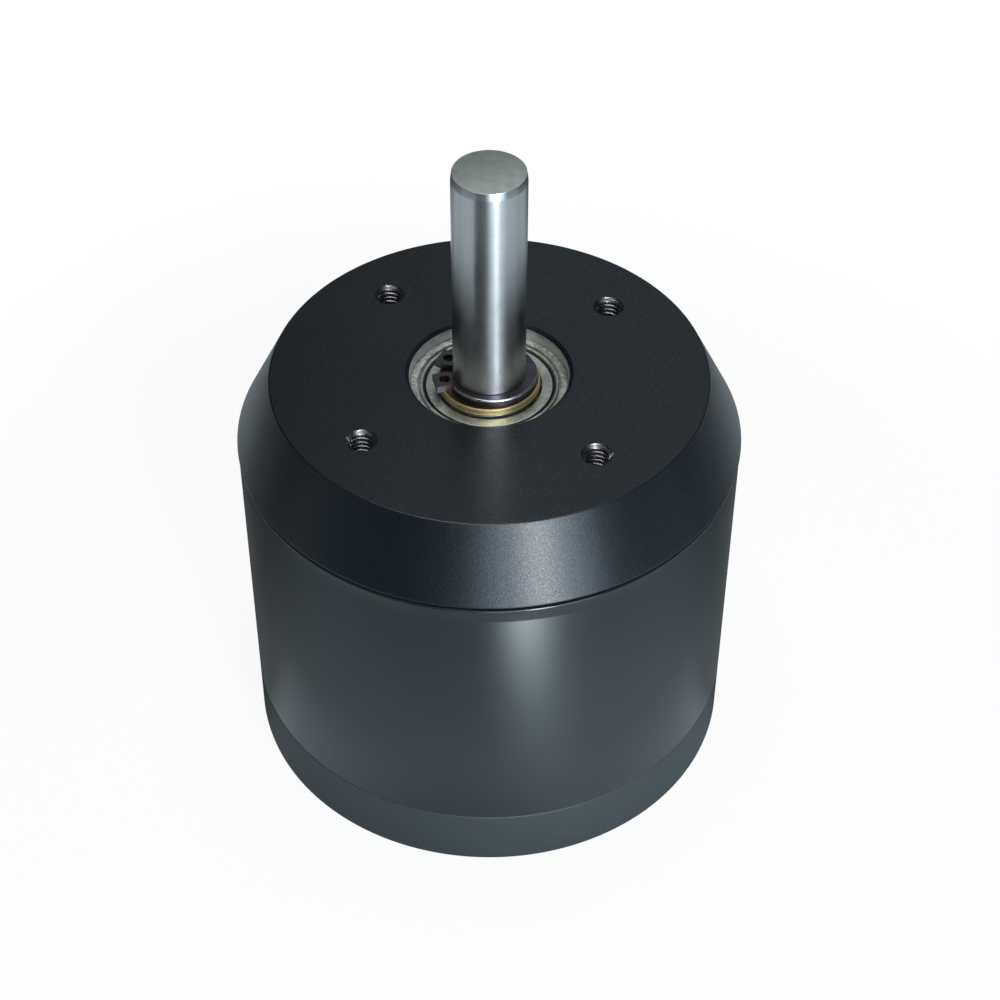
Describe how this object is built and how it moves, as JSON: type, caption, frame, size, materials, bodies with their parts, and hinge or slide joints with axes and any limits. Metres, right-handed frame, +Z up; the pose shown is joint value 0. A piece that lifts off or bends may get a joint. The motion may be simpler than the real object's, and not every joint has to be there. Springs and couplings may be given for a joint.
{
  "type": "brushless dc motor",
  "caption": "Sealed outrunner motor: a plain round shaft stands out of a conical front cover with tapped mounting holes, over a smooth turning can",
  "frame": {"origin": "centre of the flat rear face, which the motor stands on", "axes": "+Z up the output shaft; +Y towards the cable outlet at the back; +X to the right"},
  "size_m": [0.0702, 0.0702, 0.0955],
  "materials": {
    "cover_anodised": "black anodised, fine satin",
    "bell_anodised": "dark grey anodised, satin",
    "can_coated": "thin dark grey satin coating on steel",
    "shaft_steel": "ground, with fine marks round the shaft",
    "bearing_steel": "ground and honed bearing steel",
    "shield_zinc": "pressed sheet, zinc plated",
    "cage_nylon": "moulded, natural nylon",
    "circlip_black": "black phosphated spring steel",
    "shim_brass": "stamped shim stock",
    "magnet_nickel": "nickel plated magnet",
    "lamination_steel": "stack of thin coated sheets",
    "insulator_nylon": "moulded, matt",
    "winding_copper": "enamelled copper wire, glossy",
    "board_epoxy": "green circuit board",
    "sensor_resin": "moulded black resin",
    "grommet_rubber": "moulded, matt"
  },
  "bodies": {
    "stator": {"front_cover": "cover_anodised", "cable_grommet": "grommet_rubber", "front_bearing_outer_ring": "bearing_steel", "front_bearing_upper_shield": "shield_zinc", "front_bearing_lower_shield": "shield_zinc", "rear_bearing_outer_ring": "bearing_steel", "rear_bearing_upper_shield": "shield_zinc", "rear_bearing_lower_shield": "shield_zinc", "stator_core": "lamination_steel", "front_insulator": "insulator_nylon", "rear_insulator": "insulator_nylon", "sensor_board": "board_epoxy", "hall_sensors": "sensor_resin", "coil_01": "winding_copper", "coil_02": "winding_copper", "coil_03": "winding_copper", "coil_04": "winding_copper", "coil_05": "winding_copper", "coil_06": "winding_copper", "coil_07": "winding_copper", "coil_08": "winding_copper", "coil_09": "winding_copper", "coil_10": "winding_copper", "coil_11": "winding_copper", "coil_12": "winding_copper"},
    "rotor": {"shaft": "shaft_steel", "shaft_circlip": "circlip_black", "shim_washer_1": "shim_brass", "shim_washer_2": "shim_brass", "rear_spacer": "shaft_steel", "rear_bell": "bell_anodised", "rotor_can": "can_coated", "front_bearing_inner_ring": "bearing_steel", "rear_bearing_inner_ring": "bearing_steel", "magnet_01": "magnet_nickel", "magnet_02": "magnet_nickel", "magnet_03": "magnet_nickel", "magnet_04": "magnet_nickel", "magnet_05": "magnet_nickel", "magnet_06": "magnet_nickel", "magnet_07": "magnet_nickel", "magnet_08": "magnet_nickel", "magnet_09": "magnet_nickel", "magnet_10": "magnet_nickel", "magnet_11": "magnet_nickel", "magnet_12": "magnet_nickel", "magnet_13": "magnet_nickel", "magnet_14": "magnet_nickel"},
    "front_ball_set": {"front_bearing_balls": "bearing_steel", "front_bearing_cage": "cage_nylon"},
    "rear_ball_set": {"rear_bearing_balls": "bearing_steel", "rear_bearing_cage": "cage_nylon"}
  },
  "joints": [
    {"name": "rotor_spin", "type": "hinge", "parent": "stator", "child": "rotor", "pos_m": [0, 0, 0.0315], "axis": [0, 0, 1], "continuous": true},
    {"name": "front_balls_orbit", "type": "hinge", "parent": "stator", "child": "front_ball_set", "pos_m": [0, 0, 0.0575], "axis": [0, 0, 1], "continuous": true},
    {"name": "rear_balls_orbit", "type": "hinge", "parent": "stator", "child": "rear_ball_set", "pos_m": [0, 0, 0.0135], "axis": [0, 0, 1], "continuous": true}
  ],
  "couplings": [
    {"joint": "front_balls_orbit", "follows": "rotor_spin", "ratio": 0.40078},
    {"joint": "rear_balls_orbit", "follows": "rotor_spin", "ratio": 0.40078}
  ]
}
